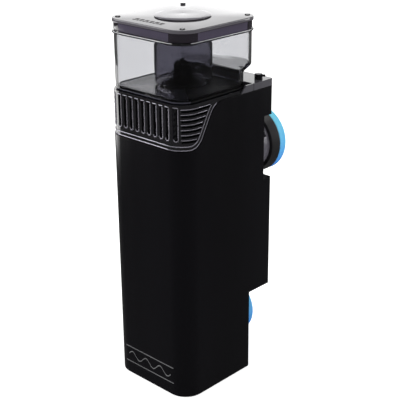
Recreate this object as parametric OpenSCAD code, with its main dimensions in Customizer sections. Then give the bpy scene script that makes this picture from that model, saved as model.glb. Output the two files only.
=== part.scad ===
/* [Housing] */
// Outer width of the housing
body_w = 90; // [80:1:100]
// Outer depth of the housing at mid height
body_d = 108.2; // [100:0.1:120]
// Outer depth of the foot below the rear recess
base_d = 81; // [70:0.5:90]
// Height of the housing rim at the rear
body_h = 259.3; // [250:0.1:270]
// Height of the housing rim at the front
rim_front = 224.6; // [215:0.1:235]
// Housing wall thickness
wall = 2.4; // [1.6:0.1:4]
// Radius of the two front vertical edges
corner_r = 17.6; // [10:0.1:22]
// Height of the lower rear recess
recess_h = 75.2; // [60:0.1:90]
// Lower edge of the magnet notch
notch_lo = 177.8; // [170:0.1:190]
// Upper edge of the magnet notch
notch_hi = 234.4; // [225:0.1:240]
// Depth of the magnet notch
notch_d = 10.4; // [6:0.1:14]
// Radius of both bends of the side rim curve
curve_r = 16; // [12:0.5:20]
// Steepness of the side rim curve in degrees
curve_a = 61; // [50:1:75]

/* [Intake comb] */
// Spacing of the upright front slots
rib_pitch = 6.9; // [6:0.1:8]
// Width of an upright front slot
rib_gap = 3.4; // [2.5:0.1:4.5]
// Number of upright front slots
rib_n = 11; // [7:2:11]
// Spacing of the level side slots
slat_pitch = 4.15; // [3.5:0.05:5]
// Height of a level side slot
slat_gap = 2.1; // [1.5:0.1:2.6]
// Height of the lowest side slot centre
slat_z0 = 232.6; // [230:0.1:236]

/* [Cup and lid] */
// Outer width of the cup
cup_w = 86; // [80:0.5:88]
// Outer depth of the cup
cup_d = 90; // [80:0.5:92]
// Height where the cup starts
cup_z0 = 262.6; // [262:0.1:266]
// Height of the cup flange top
cup_z1 = 310.4; // [300:0.1:320]
// Cup wall thickness
cup_wall = 2.2; // [1.5:0.1:3]
// Width and depth of the lid plate
lid_w = 90.6; // [86:0.1:94]
// Height of the lid plate top
lid_z = 320.5; // [315:0.1:325]
// Diameter of the round lid cap
cap_d = 46.4; // [40:0.2:50]
// Radius of the foam riser mouth
riser_r = 8.6; // [7:0.1:11]
// Outer radius of the splash tube in the cup
tube_r = 23.2; // [20:0.1:25]

/* [Magnet holder] */
// Height of the magnet axis
mag_z = 195.5; // [190:0.5:206]
// Largest radius of the magnet case
mag_r = 29.9; // [26:0.1:32]
// Distance of the pad face behind the housing front
pad_face = 147.4; // [120:0.1:150]
// Pad thickness
pad_t = 8.8; // [5:0.1:12]
// Height of the lower buffer axis
buf_z = 38.8; // [30:0.1:40]
// Radius of the lower buffer
buf_r = 26.7; // [20:0.1:30]

/* [Pump] */
// Height of the pump axis
pump_z = 30; // [28:0.5:34]
// Position of the pump axis from the middle
pump_y = 10; // [0:0.5:14]
// Rotor shaft radius
shaft_r = 1.5; // [1:0.1:2]

/* [Hidden] */
hw = body_w / 2;
yf = -base_d / 2;
yr = yf + body_d;
yl = base_d / 2;
yn = yr - notch_d;
cy = 7;
sy0 = -31;
sy1 = 7;
mag_y1 = yf + pad_face - pad_t - 0.3;
mag_y0 = mag_y1 - 8.5;
comb_w = 88.4;
comb_top = 262.4;
plug_z = cup_z1 - 2.4;
seam = 0.05;
screw_x = [-26.5, 26.5];
screw_z = [184, 226];
pipe_x = 10.5;
port_x = -28;
port_y = 58;
valve_x = 38;
valve_y = 57;
hose_x = 38;
hose_y = 41;
hose_r = 2.5;
bend_r = 12;
top_r = 8;
out_z = 125;
pin_x = 36.5;
pin_y = 37.1;
fine = 64;

// points of an arc
function arc(x, y, r, a0, a1, n) =
  [for (i = [0:n]) let (a = a0 + (a1 - a0) * i / n) [x + r * cos(a), y + r * sin(a)]];

// rounded rectangle seen from above, front and rear corner radii
function plan_pts(h, y0, y1, rf, rr, n = 9) = concat(
  arc(-h + rf, y0 + rf, rf, 180, 270, n),
  arc(h - rf, y0 + rf, rf, 270, 360, n),
  arc(h - rr, y1 - rr, rr, 0, 90, n),
  arc(-h + rr, y1 - rr, rr, 90, 180, n));

module slab(h, y0, y1, rf, rr, z0, z1) {
  translate([0, 0, z0])
    linear_extrude(height = z1 - z0)
      polygon(plan_pts(h, y0, y1, rf, rr));
}

// side outline given as depth and height, swept across the width
module across(pts, h) {
  translate([-h, 0, 0])
    rotate([90, 0, 90])
      linear_extrude(height = 2 * h)
        polygon(pts);
}

module rod_x(x0, x1, r, y = pump_y, z = pump_z) {
  translate([x0, y, z])
    rotate([0, 90, 0])
      cylinder(h = x1 - x0, r = r, $fn = fine);
}

module rod_y(y0, y1, r1, r2, z, x = 0) {
  translate([x, y0, z])
    rotate([-90, 0, 0])
      cylinder(h = y1 - y0, r1 = r1, r2 = r2, $fn = fine);
}

module rod_z(z0, z1, r, x, y) {
  translate([x, y, z0])
    cylinder(h = z1 - z0, r = r, $fn = fine);
}

// side rim curve from the low front to the high rear, shifted inwards by off
function rim_curve(off, n = 8) = concat(
  [for (i = [0:n]) let (t = curve_a * i / n)
    [sy0 + (curve_r - off) * sin(t), rim_front + curve_r - (curve_r - off) * cos(t)]],
  [for (i = [0:n]) let (t = curve_a * (1 - i / n))
    [sy1 - (curve_r + off) * sin(t), body_h - curve_r + (curve_r + off) * cos(t)]]);

// side outline of the housing, as depth and height
function rear_line() = [[yl, 0], [yl, recess_h], [yr, recess_h], [yr, notch_lo], [yn, notch_lo],
  [yn, notch_hi], [yr, notch_hi], [yr, body_h]];
function side_line() = concat([[yf, 0]], rear_line(), [[sy1 + 2, body_h]],
  [for (i = [17:-1:0]) rim_curve(0)[i]], [[yf, rim_front]]);

// bent front shell: front face, both sides and their rounded edges
module housing() {
  color([0.06, 0.06, 0.07])
    difference() {
      intersection() {
        slab(hw, yf, yr, corner_r, 2, 0, body_h);
        across(side_line(), hw + 3);
      }
      slab(hw - wall, yf + wall, yr + 9, corner_r - wall, 1, -1, body_h + 9);
      translate([0, yf + 0.7, 0])
        rotate([90, 0, 0])
          linear_extrude(height = 3)
            badge_shape(0.05);
    }
}

// stepped wall set between the sides of the shell
module rear_wall() {
  inner = [[yr - wall, body_h], [yr - wall, notch_hi + wall], [yn - wall, notch_hi + wall],
    [yn - wall, notch_lo - wall], [yr - wall, notch_lo - wall], [yr - wall, recess_h + wall],
    [yl - wall, recess_h + wall], [yl - wall, 0]];
  color([0.06, 0.06, 0.07])
    difference() {
      across(concat(rear_line(), inner), hw - wall - seam);
      rod_y(yr - 6, yr + 3, 11.2, 11.2, out_z);
      rod_y(yl - 6, yl + 3, 5.2, 5.2, buf_z);
      for (x = screw_x)
        for (z = screw_z)
          rod_y(yn - 6, yn + 3, 1.4, 1.4, z, x);
    }
}

module base_plate() {
  color([0.06, 0.06, 0.07])
    slab(hw - wall - seam, yf + wall + seam, yl - wall - seam, corner_r - wall, 0.5, 0, 3);
}

// two thin level bars with a plain wave between them
module badge_shape(grow) {
  for (z = [11.6, 26.6])
    translate([-30.5 - grow, z - 0.45 - grow])
      square([60 + 2 * grow, 0.9 + 2 * grow]);
  polygon(concat(
    [for (i = [0:30]) [-27 - grow + (53 + 2 * grow) * i / 30, 18.6 - 2 * grow + 3.2 * sin(i * 36)]],
    [for (i = [30:-1:0]) [-27 - grow + (53 + 2 * grow) * i / 30, 19.6 + 2 * grow + 3.2 * sin(i * 36)]]));
}

module badge_inlay() {
  color([0.36, 0.37, 0.4])
    translate([0, yf + 0.6, 0])
      rotate([90, 0, 0])
        linear_extrude(height = 0.6)
          badge_shape(0);
}

module intake_comb() {
  ch = comb_w / 2;
  cf = yf + 0.8;
  cr = corner_r - 0.8;
  ax = ch - cr;
  ay = cf + cr;
  low = rim_curve(0.3);
  win = rim_curve(4.3);
  skin = concat(
    [[cf - 5, rim_front + 0.3]], low,
    [[27.5, body_h + 0.3], [27.5, comb_top], [cf - 5, comb_top]]);
  field = concat([[cf - 5, 231]], [for (p = win) if (p[1] > 231 && p[1] < 258.7) p],
    [[win[17][0] - 12, 258.9], [cf - 5, 258.9]]);
  color([0.08, 0.08, 0.1])
    difference() {
      union() {
        intersection() {
          difference() {
            slab(ch, cf, 45, cr, 10, rim_front, comb_top);
            slab(ch - 2, cf + 2, 60, cr - 2, 2, rim_front - 1, comb_top + 1);
          }
          across(skin, ch + 2);
        }
        intersection() {
          slab(ch - 1.5, cf + 1.5, 45, cr - 1.5, 10, 231, 259.6);
          translate([-38, cf, 230])
            cube([76, 4.8, 30]);
        }
        intersection() {
          difference() {
            slab(ch - 1, cf + 1, 45, cr - 1, 10, comb_top - 1.8, comb_top);
            slab(ch - 6, cf + 6, 60, cr - 6, 2, comb_top - 3, comb_top + 1);
          }
          translate([-50, -50, 250])
            cube([100, 77.5, 20]);
        }
      }
      for (k = [0:rib_n - 1])
        translate([(k - (rib_n - 1) / 2) * rib_pitch, -33.2, 0])
          rotate([90, 0, 0])
            linear_extrude(height = 12)
              polygon(concat(
                arc(0, 233 + rib_gap / 2, rib_gap / 2, 180, 360, 8),
                [[rib_gap / 2, 259.4], [-rib_gap / 2, 259.4]]));
      for (m = [0, 1])
        mirror([m, 0, 0])
          intersection() {
            for (k = [0:6])
              translate([0, 0, slat_z0 + k * slat_pitch - slat_gap / 2])
                linear_extrude(height = slat_gap)
                  polygon([[ax, ay], [ax + 30 * cos(-47), ay + 30 * sin(-47)],
                    [60, ay], [60, 30], [ax, 30]]);
            across(field, 70);
          }
    }
}

module deck_plate() {
  color([0.07, 0.07, 0.08])
    difference() {
      translate([-42.3, 24, 256.3])
        cube([84.6, 18.6, 2.5]);
      rod_z(250, 262, 18.8, 0, cy);
      for (x = [-34, -24, 24, 34])
        rod_z(250, 262, 3, x, 33);
    }
}

module divider_plate() {
  color([0.07, 0.07, 0.08])
    difference() {
      slab(hw - wall - 0.3, yf + wall + 0.3, yr - wall - 0.3, corner_r - wall - 0.3, 1,
        recess_h + wall + 0.3, recess_h + wall + 2.7);
      rod_z(70, 90, 8.5, pipe_x, pump_y);
      rod_z(70, 90, 3, hose_x, pump_y);
      for (x = [-36, -28, -20])
        translate([x, -32, 70])
          cube([4, 8, 20]);
      for (x = [-34, -22, 22, 34])
        rod_z(70, 90, 3.5, x, 50);
    }
}

module reaction_chamber() {
  color([0.2, 0.21, 0.23])
    translate([0, cy, 0])
      difference() {
        rotate_extrude($fn = fine)
          polygon([[25, 80.6], [27, 80.6], [27, 232], [18.4, 246], [18.4, 258.9],
            [16.3, 258.9], [16.3, 245], [25, 231]]);
        for (a = [0:45:315])
          rotate([0, 0, a])
            translate([20, -2, 96])
              cube([12, 4, 14]);
      }
}

module sponge_block() {
  color([0.05, 0.05, 0.06])
    translate([-38, 38, 84])
      cube([62, 22, 86]);
}

module skimmer_cup() {
  h = cup_w / 2;
  f = cy - cup_d / 2;
  b = cy + cup_d / 2;
  outer = [[f - 1, cup_z0], [42.2, cup_z0], [42.2, 275.5], [b + 0.1, 281.5],
    [b + 5, 281.5], [b + 5, cup_z1], [f - 5, cup_z1], [f - 5, cup_z0]];
  inner = [[f - 1, cup_z0 + 2.4], [42.2 - cup_wall, cup_z0 + 2.4],
    [42.2 - cup_wall, 276.9], [b - cup_wall, 282.7], [b + 5, 282.7],
    [b + 5, 320], [f - 5, 320], [f - 5, cup_z0 + 2.4]];
  color([0.45, 0.46, 0.5, 0.35])
    difference() {
      union() {
        intersection() {
          slab(h, f, b, 15.5, 15.5, cup_z0, cup_z1);
          across(outer, h + 2);
        }
        slab(h + 1.4, f - 1.4, b + 1.4, 16.9, 16.9, cup_z1 - 1.6, cup_z1);
      }
      intersection() {
        slab(h - cup_wall, f + cup_wall, b - cup_wall, 13.3, 13.3, cup_z0 + 1, 320);
        across(inner, h + 2);
      }
      rod_z(250, 270, 15.9, 0, cy);
    }
}

module foam_riser() {
  color([0.05, 0.05, 0.06])
    translate([0, cy, 0])
      difference() {
        rotate_extrude($fn = fine)
          polygon([[14, 246], [15.6, 246], [15.6, 250.9], [14.6, 250.9], [14.6, 253.1],
            [15.6, 253.1], [15.6, 265.3], [19, 265.3], [19, 266.8], [16.4, 267.3],
            [riser_r, 273.5], [riser_r, 282.6], [riser_r - 1.4, 282.6],
            [riser_r - 1.4, 273], [13.2, 266.6], [13.2, 254], [14, 246]]);
        for (a = [0:30:330])
          rotate([0, 0, a])
            translate([riser_r + 0.5, 0, 274.5])
              cylinder(h = 12, r = 0.9, $fn = 24);
      }
}

module riser_seal() {
  color([0.1, 0.1, 0.1])
    translate([0, cy, 0])
      rotate_extrude($fn = fine)
        translate([14.7, 251.1])
          square([1.25, 1.8]);
}

module cup_lid() {
  h = lid_w / 2;
  color([0.12, 0.12, 0.14])
    difference() {
      union() {
        slab(h, cy - h, cy + h, 17, 17, lid_z - 3.1, lid_z);
        slab(h - 1.1, cy - h + 1.1, cy + h - 1.1, 15.9, 15.9, cup_z1 + 0.3, lid_z - 2);
        slab(39.1, cy - 41.1, cy + 41.1, 11.6, 11.6, plug_z, lid_z - 2);
      }
      difference() {
        slab(h - 3.1, cy - h + 3.1, cy + h - 3.1, 13.9, 13.9, cup_z1 - 2, lid_z - 3.1);
        slab(39.1, cy - 41.1, cy + 41.1, 11.6, 11.6, 300, lid_z);
      }
      slab(37.3, cy - 39.3, cy + 39.3, 9.8, 9.8, 300, lid_z - 3.1);
      rod_z(310, 325, 8.2, 0, cy);
      for (x = [-pin_x, pin_x])
        for (y = [cy - pin_y, cy + pin_y])
          rod_z(312, 325, 1.7, x, y);
    }
}

module lid_seal() {
  color([0.1, 0.1, 0.1])
    difference() {
      slab(40.5, cy - 42.5, cy + 42.5, 13, 13, plug_z + 0.3, plug_z + 1.7);
      slab(39.3, cy - 41.3, cy + 41.3, 11.8, 11.8, plug_z - 1, plug_z + 3);
    }
}

module lid_pins() {
  color([0.04, 0.04, 0.05])
    for (x = [-pin_x, pin_x])
      for (y = [cy - pin_y, cy + pin_y])
        rod_z(lid_z - 3, lid_z + 0.3, 1.6, x, y);
}

module lid_cap() {
  r = cap_d / 2;
  color([0.12, 0.12, 0.14])
    translate([0, cy, 0])
      rotate_extrude($fn = fine)
        polygon([[0, lid_z - 2.9], [8, lid_z - 2.9], [8, lid_z + 0.2], [r - 1.5, lid_z + 0.2],
          [r - 1.5, lid_z + 0.5], [r, lid_z + 0.8], [r, lid_z + 1.4],
          [r - 0.5, lid_z + 1.8], [r - 1.4, lid_z + 2], [0, lid_z + 2]]);
}

module splash_tube() {
  color([0.35, 0.35, 0.4, 0.4])
    difference() {
      rod_z(267.8, lid_z - 3.3, tube_r, 0, cy);
      rod_z(260, lid_z, tube_r - 1.6, 0, cy);
      for (a = [45:90:315])
        translate([0, cy, 267])
          rotate([0, 0, a])
            translate([tube_r - 4, -3, 0])
              cube([8, 6, 3.8]);
    }
}

module rear_cover() {
  color([0.07, 0.07, 0.08])
    difference() {
      union() {
        slab(hw, 43.1, yr, 1, 2, body_h + 0.2, 265.5);
        slab(hw - wall - 0.4, 45.5, yr - wall - 0.4, 1, 1, 252, 261);
      }
      slab(hw - wall - 2, 47.1, yr - wall - 2, 0.6, 0.6, 250, 263.5);
      rod_z(250, 270, 2.6, valve_x, valve_y);
      rod_z(250, 270, 5.2, port_x, port_y);
    }
}

module cover_wings() {
  side = [[28, body_h + 0.2], [42.8, body_h + 0.2], [42.8, 265.5], [33.8, 265.5]];
  color([0.07, 0.07, 0.08])
    for (m = [0, 1])
      mirror([m, 0, 0])
        translate([43.4, 0, 0])
          rotate([90, 0, 90])
            linear_extrude(height = 1.6)
              polygon(side);
}

module air_valve() {
  color([0.05, 0.05, 0.06])
    translate([valve_x, valve_y, 0])
      rotate_extrude($fn = fine)
        polygon([[0.8, 249], [1.5, 249], [1.5, 256], [2.4, 256], [2.4, 265.7], [3.5, 265.7],
          [3.5, 266.4], [1.9, 266.4], [1.9, 268.4], [0.8, 268.4]]);
}

module air_knob() {
  color([0.04, 0.04, 0.05])
    translate([valve_x, valve_y, 0])
      difference() {
        union() {
          rotate_extrude($fn = fine)
            polygon([[1.95, 266.6], [3.4, 266.6], [3.4, 269.6], [2.9, 270.1], [0.6, 270.1],
              [0.6, 268.8], [1.95, 268.8]]);
          rotate([0, 0, 35])
            translate([2.6, -0.8, 267.6])
              cube([3.2, 1.6, 1.8]);
        }
        for (a = [75:36:355])
          rotate([0, 0, a])
            translate([3.8, 0, 266])
              cylinder(h = 8, r = 0.7, $fn = 24);
      }
}

module air_hose() {
  yt = hose_y - bend_r;
  yb = pump_y + bend_r;
  zh = 92;
  color([0.6, 0.62, 0.66, 0.6])
    translate([hose_x, 0, 0]) {
      translate([0, valve_y, 248])
        hose_run(7.7);
      hose_bend(valve_y - top_r, 248, top_r, -90);
      hose_bend(valve_y - top_r, 248 - 2 * top_r, top_r, 90);
      translate([0, hose_y, zh + bend_r])
        hose_run(248 - 2 * top_r - zh - bend_r);
      hose_bend(yt, zh + bend_r, bend_r, -90);
      translate([0, yb, zh])
        rotate([-90, 0, 0])
          hose_run(yt - yb);
      hose_bend(yb, zh - bend_r, bend_r, 90);
      translate([0, pump_y, 50.2])
        hose_run(zh - bend_r - 50.2);
    }
}

// quarter bend in the depth and height plane, starting at angle a0
module hose_bend(y, z, r, a0) {
  translate([0, y, z])
    rotate([90, 0, 90])
      rotate([0, 0, a0])
        rotate_extrude(angle = 90, $fn = fine)
          translate([r, 0])
            hose_ring();
}

module hose_ring() {
  difference() {
    circle(r = hose_r, $fn = 48);
    circle(r = hose_r - 0.9, $fn = 48);
  }
}

module hose_run(h) {
  linear_extrude(height = h)
    hose_ring();
}

module air_injector() {
  color([0.05, 0.05, 0.06])
    translate([hose_x, pump_y, 0])
      rotate_extrude($fn = fine)
        polygon([[0.8, 45.3], [3, 45.3], [3, 49.9], [1.5, 49.9], [1.5, 59], [0.8, 59]]);
}

module cable_gland() {
  color([0.05, 0.05, 0.06])
    translate([port_x, port_y, 0])
      rotate_extrude($fn = fine)
        polygon([[3.3, 258], [5, 258], [5, 265.7], [6.6, 265.7], [6.6, 266.8],
          [5.6, 268.2], [3.3, 268.2]]);
}

module magnet_bracket() {
  color([0.16, 0.16, 0.18])
    difference() {
      union() {
        translate([-30, yn + 0.3, 180.5])
          cube([60, 3.4, 51.5]);
        rod_y(yn + 1, mag_y0 - 0.6, 25, 25, mag_z);
      }
      rod_y(yn + 6, mag_y0 + 3, 21.9, 21.9, mag_z);
      for (a = [38, 128, 218, 308])
        translate([0, 0, mag_z])
          rotate([0, -a, 0])
            translate([18, yn + 12, -7])
              cube([12, mag_y0 - yn - 15.2, 14]);
      for (x = screw_x)
        for (z = screw_z)
          rod_y(yn - 6, yn + 6, 1.5, 1.5, z, x);
      translate([-40, yn, notch_lo + 0.4 - 30])
        cube([80, notch_d + 0.4, 30]);
    }
}

module bracket_screws() {
  color([0.7, 0.7, 0.72])
    for (x = screw_x)
      for (z = screw_z)
        union() {
          rod_y(yn - 4, yn + 4, 1.3, 1.3, z, x);
          rod_y(yn + 3.8, yn + 5.4, 2.6, 2.2, z, x);
        }
}

module magnet_body() {
  color([0.1, 0.1, 0.11])
    difference() {
      union() {
        rod_y(mag_y0, mag_y1, mag_r - 2.2, mag_r, mag_z);
        rod_y(mag_y0 - 9, mag_y0 + 1, 21.4, 21.4, mag_z);
      }
      rod_y(mag_y1 - 6.4, mag_y1 + 1, 20, 20, mag_z);
    }
}

module magnet_core() {
  color([0.55, 0.56, 0.58])
    rod_y(mag_y1 - 6.2, mag_y1 - 0.2, 19.8, 19.8, mag_z);
}

module pad_disc(y0, y1, r, z) {
  translate([0, y0, z])
    rotate([-90, 0, 0])
      rotate_extrude($fn = fine)
        polygon(concat([[0, 0], [r - 0.6, 0], [r, 0.6]],
          arc(r - 2, y1 - y0 - 2, 2, 0, 90, 6), [[0, y1 - y0]]));
}

module magnet_pad() {
  color([0.3, 0.68, 0.95])
    pad_disc(mag_y1 + 0.2, yf + pad_face, mag_r - 0.1, mag_z);
}

module buffer_post() {
  color([0.07, 0.07, 0.08])
    difference() {
      union() {
        rod_y(yl - 5.5, yl + 1, 5, 5, buf_z);
        rod_y(yl + 0.3, yl + 17, 11, 9, buf_z);
      }
      rod_y(yl - 8, yl + 12, 2, 2, buf_z);
    }
}

module lower_buffer() {
  color([0.3, 0.68, 0.95])
    difference() {
      pad_disc(yl + 15, yf + 109, buf_r, buf_z);
      rod_y(yl + 10, yl + 17.3, 9.3 + 0.5, 9.3, buf_z);
    }
}

module outlet_spout() {
  color([0.07, 0.07, 0.08])
    difference() {
      union() {
        rod_y(yr - 6, yr + 1, 11, 11, out_z);
        rod_y(yr + 0.2, yr + 2, 14, 13, out_z);
      }
      rod_y(yr - 8, yr + 4, 9, 9, out_z);
    }
}

module pump_motor() {
  m = plan_pts(20, pump_y - 20, pump_y + 20, 6, 6, 6);
  color([0.08, 0.09, 0.12])
    difference() {
      union() {
        translate([-36, pump_y, pump_z])
          rotate([0, 90, 0])
            linear_extrude(height = 38)
              polygon([for (p = m) [p[0], p[1] - pump_y]]);
        rod_x(-41, -35, 4);
      }
      rod_x(-24, 3, 9.2);
      rod_x(-28, -23, 3.6);
    }
}

module pump_volute() {
  color([0.07, 0.07, 0.08])
    difference() {
      union() {
        rod_x(2.3, 18.5, 18);
        rod_z(pump_z + 12, 88, 8, pipe_x, pump_y);
      }
      rod_x(1, 16, 15.5);
      rod_x(15, 19, 3.6);
      for (a = [0:60:300])
        translate([0, pump_y + 9 * cos(a), pump_z + 9 * sin(a)])
          rotate([0, 90, 0])
            translate([0, 0, 15])
              cylinder(h = 6, r = 3.2, $fn = 32);
      rod_z(pump_z + 10, 90, 5.6, pipe_x, pump_y);
    }
}

module pump_strainer() {
  color([0.07, 0.07, 0.08])
    difference() {
      rod_x(18.8, 41, 15);
      rod_x(18, 39.4, 13.4);
      for (a = [15:30:345])
        translate([0, pump_y, pump_z])
          rotate([a, 0, 0])
            translate([22, -1, 8])
              cube([13, 2, 10]);
      rod_z(40, 48, 0.8, hose_x, pump_y);
    }
}

module pump_feet() {
  color([0.05, 0.05, 0.05])
    for (x = [-30, -4])
      for (y = [pump_y - 13, pump_y + 13])
        rod_z(3.2, 9.8, 4, x, y);
}

module impeller() {
  color([0.85, 0.86, 0.88])
    difference() {
      union() {
        rod_x(3.2, 14.6, 4);
        rod_x(4, 5.8, 13.2);
        for (a = [0:45:315])
          rod_x(5.5, 13.4, 0.8, pump_y + 7.6 * cos(a), pump_z + 7.6 * sin(a));
        for (a = [15:30:345])
          rod_x(5.5, 13.4, 0.8, pump_y + 11.6 * cos(a), pump_z + 11.6 * sin(a));
      }
      rod_x(2, 16, shaft_r + 0.05);
    }
}

module rotor_magnet() {
  color([0.25, 0.25, 0.27])
    difference() {
      rod_x(-22, 2.9, 8.6);
      rod_x(-24, 4, shaft_r + 0.05);
    }
}

module rotor_shaft() {
  color([0.92, 0.91, 0.88])
    rod_x(-27.5, 18, shaft_r);
}

module shaft_bushings() {
  color([0.1, 0.1, 0.1])
    for (x = [[-27.8, -24.3], [15.3, 18.3]])
      difference() {
        rod_x(x[0], x[1], 3.5);
        rod_x(x[0] - 1, x[1] + 1, shaft_r + 0.06);
      }
}

housing();
rear_wall();
base_plate();
badge_inlay();
intake_comb();
deck_plate();
divider_plate();
reaction_chamber();
sponge_block();
skimmer_cup();
foam_riser();
riser_seal();
cup_lid();
lid_seal();
lid_pins();
lid_cap();
splash_tube();
rear_cover();
cover_wings();
air_valve();
air_knob();
air_hose();
air_injector();
cable_gland();
magnet_bracket();
bracket_screws();
magnet_body();
magnet_core();
magnet_pad();
buffer_post();
lower_buffer();
outlet_spout();
pump_motor();
pump_volute();
pump_strainer();
pump_feet();
impeller();
rotor_magnet();
rotor_shaft();
shaft_bushings();
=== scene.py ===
import math
import bmesh
import bpy
from mathutils import Matrix, Vector, noise


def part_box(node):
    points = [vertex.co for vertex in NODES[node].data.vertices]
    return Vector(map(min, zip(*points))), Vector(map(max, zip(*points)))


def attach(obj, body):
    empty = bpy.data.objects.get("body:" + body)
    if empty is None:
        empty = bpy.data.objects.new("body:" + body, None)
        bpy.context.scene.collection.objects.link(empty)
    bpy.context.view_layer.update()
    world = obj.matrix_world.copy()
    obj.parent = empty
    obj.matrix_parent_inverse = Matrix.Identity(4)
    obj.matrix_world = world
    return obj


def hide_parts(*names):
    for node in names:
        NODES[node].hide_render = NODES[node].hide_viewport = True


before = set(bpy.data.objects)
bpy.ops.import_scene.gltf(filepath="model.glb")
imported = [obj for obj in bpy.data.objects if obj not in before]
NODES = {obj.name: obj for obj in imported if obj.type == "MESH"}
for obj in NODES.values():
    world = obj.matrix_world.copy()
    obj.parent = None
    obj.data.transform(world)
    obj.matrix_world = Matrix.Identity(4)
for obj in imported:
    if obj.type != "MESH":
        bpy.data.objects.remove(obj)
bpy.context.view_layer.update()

# Lengths are in millimetres from here on, unless a name or comment says otherwise.
MM = 0.001
FRONT = -40.5  # y of the housing's front face
OVERALL_DEPTH = 147.4  # from the front face to the magnet pad's face
CUP_Y = 7.0  # y of the upright axis that cup, lid, tube and riser share
PLUG_Z = 308.0  # underside of the lid's plug
PIN_X, PIN_Y = 36.5, 37.1  # the lid's pins, from its centre


# ---------------------------------------------------------------- materials
class Graph:
    """A material with a Principled shader, and short ways to add and join its nodes."""

    def __init__(self, name):
        self.mat = bpy.data.materials.new(name)
        self.mat.use_nodes = True
        self.tree = self.mat.node_tree
        self.tree.nodes.clear()
        self.out = self.add("ShaderNodeOutputMaterial")
        self.bsdf = self.add("ShaderNodeBsdfPrincipled")
        self.join(self.bsdf, "BSDF", self.out, "Surface")
        self.pos = self.add("ShaderNodeNewGeometry")

    def add(self, kind, **props):
        n = self.tree.nodes.new(kind)
        for k, v in props.items():
            setattr(n, k, v)
        return n

    def join(self, a, a_out, b, b_in):
        self.tree.links.new(a.outputs[a_out], b.inputs[b_in])

    def set(self, **values):
        for k, v in values.items():
            self.bsdf.inputs[k.replace("_", " ")].default_value = v

    def scaled(self, sx, sy, sz):
        m = self.add("ShaderNodeMapping")
        m.inputs["Scale"].default_value = (sx, sy, sz)
        self.join(self.pos, "Position", m, "Vector")
        return m

    def noise(self, scale, detail=3.0, rough=0.5, stretch=(1, 1, 1)):
        n = self.add("ShaderNodeTexNoise")
        n.inputs["Scale"].default_value = scale
        n.inputs["Detail"].default_value = detail
        n.inputs["Roughness"].default_value = rough
        m = self.scaled(*stretch)
        self.join(m, "Vector", n, "Vector")
        return n

    def ramp(self, src, out, lo, hi, c0, c1):
        r = self.add("ShaderNodeValToRGB")
        r.color_ramp.elements[0].position = lo
        r.color_ramp.elements[1].position = hi
        r.color_ramp.elements[0].color = (*c0, 1)
        r.color_ramp.elements[1].color = (*c1, 1)
        self.join(src, out, r, "Fac")
        return r

    def span(self, src, out, lo, hi, a, b):
        r = self.add("ShaderNodeMapRange")
        r.inputs["From Min"].default_value = lo
        r.inputs["From Max"].default_value = hi
        r.inputs["To Min"].default_value = a
        r.inputs["To Max"].default_value = b
        self.join(src, out, r, "Value")
        return r

    def bump(self, layers):
        """Stacks bumps; layers is a list of (node, output, strength, distance in metres)."""
        last = None
        for src, out, strength, dist in layers:
            b = self.add("ShaderNodeBump")
            b.inputs["Strength"].default_value = strength
            b.inputs["Distance"].default_value = dist
            self.join(src, out, b, "Height")
            if last:
                self.join(last, "Normal", b, "Normal")
            last = b
        self.join(last, "Normal", self.bsdf, "Normal")


def moulded(name, dark, light, rough, spec, grain=900, depth=0.00004, shine=0.0, streak=True):
    """Injection moulded plastic: faint flow marks, fine grain, patchy gloss.

    dark and light end the colour range, and rough is the (least, most) roughness. streak
    draws the flow marks out upwards, and shine makes the piece that much metallic.
    """
    g = Graph(name)
    flow = g.noise(14, 4, 0.55, (1, 1, 0.12) if streak else (1, 1, 1))
    col = g.ramp(flow, "Fac", 0.35, 0.68, dark, light)
    g.join(col, "Color", g.bsdf, "Base Color")
    haze = g.noise(60, 3, 0.6, (1, 1, 0.25))
    r = g.span(haze, "Fac", 0.3, 0.7, rough[0], rough[1])
    g.join(r, "Result", g.bsdf, "Roughness")
    fine = g.noise(grain, 2, 0.5)
    wave = g.noise(26, 1, 0.4, (1, 1, 0.3))
    g.bump([(fine, "Fac", 0.25, depth), (wave, "Fac", 0.35, depth * 3)])
    g.set(Specular_IOR_Level=spec, IOR=1.5)
    if shine:
        g.set(Metallic=shine)
    return g.mat


def smoked(name, tint, ior):
    """Clear smoked acrylic with faint moulding waves."""
    rough = 0.02
    g = Graph(name)
    patch = g.noise(9, 2, 0.5)
    lo = tuple(c * 0.97 for c in tint)
    col = g.ramp(patch, "Fac", 0.3, 0.7, lo, tint)
    g.join(col, "Color", g.bsdf, "Base Color")
    swirl = g.noise(22, 1, 0.4, (1, 1, 0.4))
    r = g.span(swirl, "Fac", 0.3, 0.7, rough * 0.6, rough * 1.6)
    g.join(r, "Result", g.bsdf, "Roughness")
    g.bump([(swirl, "Fac", 0.08, 0.0002)])
    g.set(Transmission_Weight=1.0, IOR=ior)
    return g.mat


def rippled(name, tint):
    """Clear wall with level ripples, as a thin moulded step shows; painted shade darkens its tint along
    the ripples' low sides.
    """
    valley_shade = 0.45  # how dark the painted shade on the ripples' low sides is, against tint
    g = Graph(name)
    bands = g.noise(60, 2, 0.5, (0.25, 0.25, 3.2))
    col = g.ramp(bands, "Fac", 0.40, 0.52, tuple(c * valley_shade for c in tint), tint)
    g.join(col, "Color", g.bsdf, "Base Color")
    r = g.span(bands, "Fac", 0.3, 0.7, 0.02, 0.07)
    g.join(r, "Result", g.bsdf, "Roughness")
    g.bump([(bands, "Fac", 0.7, 0.0012)])
    g.set(Transmission_Weight=1.0, IOR=1.3)
    return g.mat


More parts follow.
